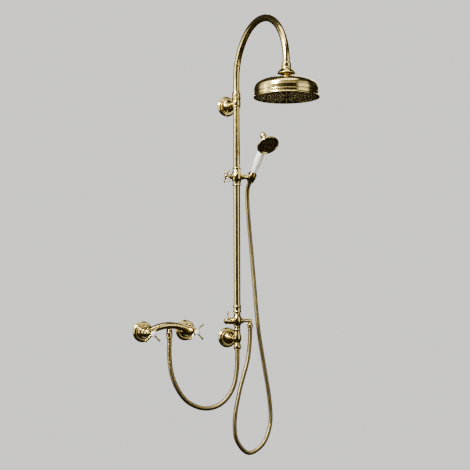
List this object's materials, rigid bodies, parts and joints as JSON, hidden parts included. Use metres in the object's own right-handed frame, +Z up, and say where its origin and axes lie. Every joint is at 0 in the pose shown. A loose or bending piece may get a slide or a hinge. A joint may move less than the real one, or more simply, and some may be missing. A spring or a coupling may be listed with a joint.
{
  "type": "rainfall shower column",
  "caption": "Wall-held rigid riser shower in polished brass: two-tap mixer, supply hose, diverter, sliding hand shower and a swan-neck arm with a large overhead rose.",
  "frame": {"origin": "centre of the lower bracket's wall plate, on the wall plane", "axes": "+Z up along the riser, +X to the right along the wall as the user sees it, -Y out of the wall toward the user"},
  "size_m": [0.4764, 0.511, 1.4265],
  "materials": {
    "polished_brass": "polished, lacquered",
    "white_ceramic": "glossy white glaze",
    "spray_face": "drilled plate, dark between the bright nozzle rims",
    "nylon": "moulded",
    "steel": "plated",
    "metal_hose": "brass-coloured spiral-wound metal cover over a rubber lining"
  },
  "bodies": {
    "column": {"lower_wall_plate": "steel", "lower_wall_screw_1": "steel", "lower_wall_screw_2": "steel", "lower_bracket_stem": "polished_brass", "lower_wall_flange": "polished_brass", "upper_wall_plate": "steel", "upper_wall_screw_1": "steel", "upper_wall_screw_2": "steel", "upper_bracket_stem": "polished_brass", "upper_wall_flange": "polished_brass", "upper_bracket_collar": "polished_brass", "arm_union_collar": "polished_brass", "riser_tube": "polished_brass", "riser_collar_nut": "polished_brass", "swan_neck_arm": "polished_brass", "arm_end_nut": "polished_brass", "inlet_body": "polished_brass", "hose_inlet_nut": "polished_brass", "diverter_body": "polished_brass", "diverter_cartridge": "nylon", "diverter_bonnet": "polished_brass", "outlet_elbow": "polished_brass", "hose_elbow_nut": "polished_brass", "mixer_body": "polished_brass", "hot_wall_flange": "polished_brass", "hot_inlet_union": "polished_brass", "hot_bonnet": "polished_brass", "cold_wall_flange": "polished_brass", "cold_inlet_union": "polished_brass", "cold_bonnet": "polished_brass", "hose_mixer_nut": "polished_brass", "supply_hose": "metal_hose", "handset_hose": "metal_hose"},
    "hot_handle": {"hot_spindle": "polished_brass", "hot_cross_handle": "polished_brass", "hot_ceramic_button": "white_ceramic"},
    "cold_handle": {"cold_spindle": "polished_brass", "cold_cross_handle": "polished_brass", "cold_ceramic_button": "white_ceramic"},
    "diverter_handle": {"diverter_lever": "polished_brass", "diverter_lever_cap": "polished_brass"},
    "slider": {"slider_body": "polished_brass", "slider_bush": "nylon", "cradle_grub_screw": "steel"},
    "slider_lock": {"lock_screw": "polished_brass", "lock_cross": "polished_brass"},
    "handset": {"handset_cradle": "polished_brass", "hose_handset_nut": "polished_brass", "handset_ferrule": "polished_brass", "handset_grip": "white_ceramic", "handset_core_tube": "polished_brass", "handset_neck": "polished_brass", "handset_finial": "polished_brass", "handset_rose_shell": "polished_brass", "handset_spray_plate": "spray_face"},
    "rose_ball": {"swivel_ball": "polished_brass"},
    "rose": {"rose_neck": "polished_brass", "rose_dome": "polished_brass", "rose_rim": "polished_brass", "rose_spray_plate": "spray_face"}
  },
  "joints": [
    {"name": "hot_tap_turn", "type": "hinge", "parent": "column", "child": "hot_handle", "pos_m": [-0.306, -0.09, 0.03], "axis": [0, -1, 0], "range_deg": [0, 90]},
    {"name": "cold_tap_turn", "type": "hinge", "parent": "column", "child": "cold_handle", "pos_m": [-0.156, -0.09, 0.03], "axis": [0, -1, 0], "range_deg": [-90, 0]},
    {"name": "diverter_turn", "type": "hinge", "parent": "column", "child": "diverter_handle", "pos_m": [-0.035, -0.076, 0.06], "axis": [1, 0, 0], "range_deg": [0, 90]},
    {"name": "slider_travel", "type": "slide", "parent": "column", "child": "slider", "axis": [0, 0, 1], "range_m": [-0.38, 0.19], "deforming": ["handset_hose"]},
    {"name": "slider_lock_turn", "type": "hinge", "parent": "slider", "child": "slider_lock", "pos_m": [-0.038, -0.076, 0.54], "axis": [-1, 0, 0], "range_deg": [0, 180]},
    {"name": "cradle_tilt", "type": "hinge", "parent": "slider", "child": "handset", "pos_m": [0.056, -0.076, 0.54], "axis": [1, 0, 0], "range_deg": [-20, 25]},
    {"name": "rose_tilt", "type": "hinge", "parent": "column", "child": "rose_ball", "pos_m": [0, -0.411, 0.838], "axis": [1, 0, 0], "range_deg": [-12, 12]},
    {"name": "rose_roll", "type": "hinge", "parent": "rose_ball", "child": "rose", "pos_m": [0, -0.411, 0.838], "axis": [0, 1, 0], "range_deg": [-12, 12]}
  ]
}
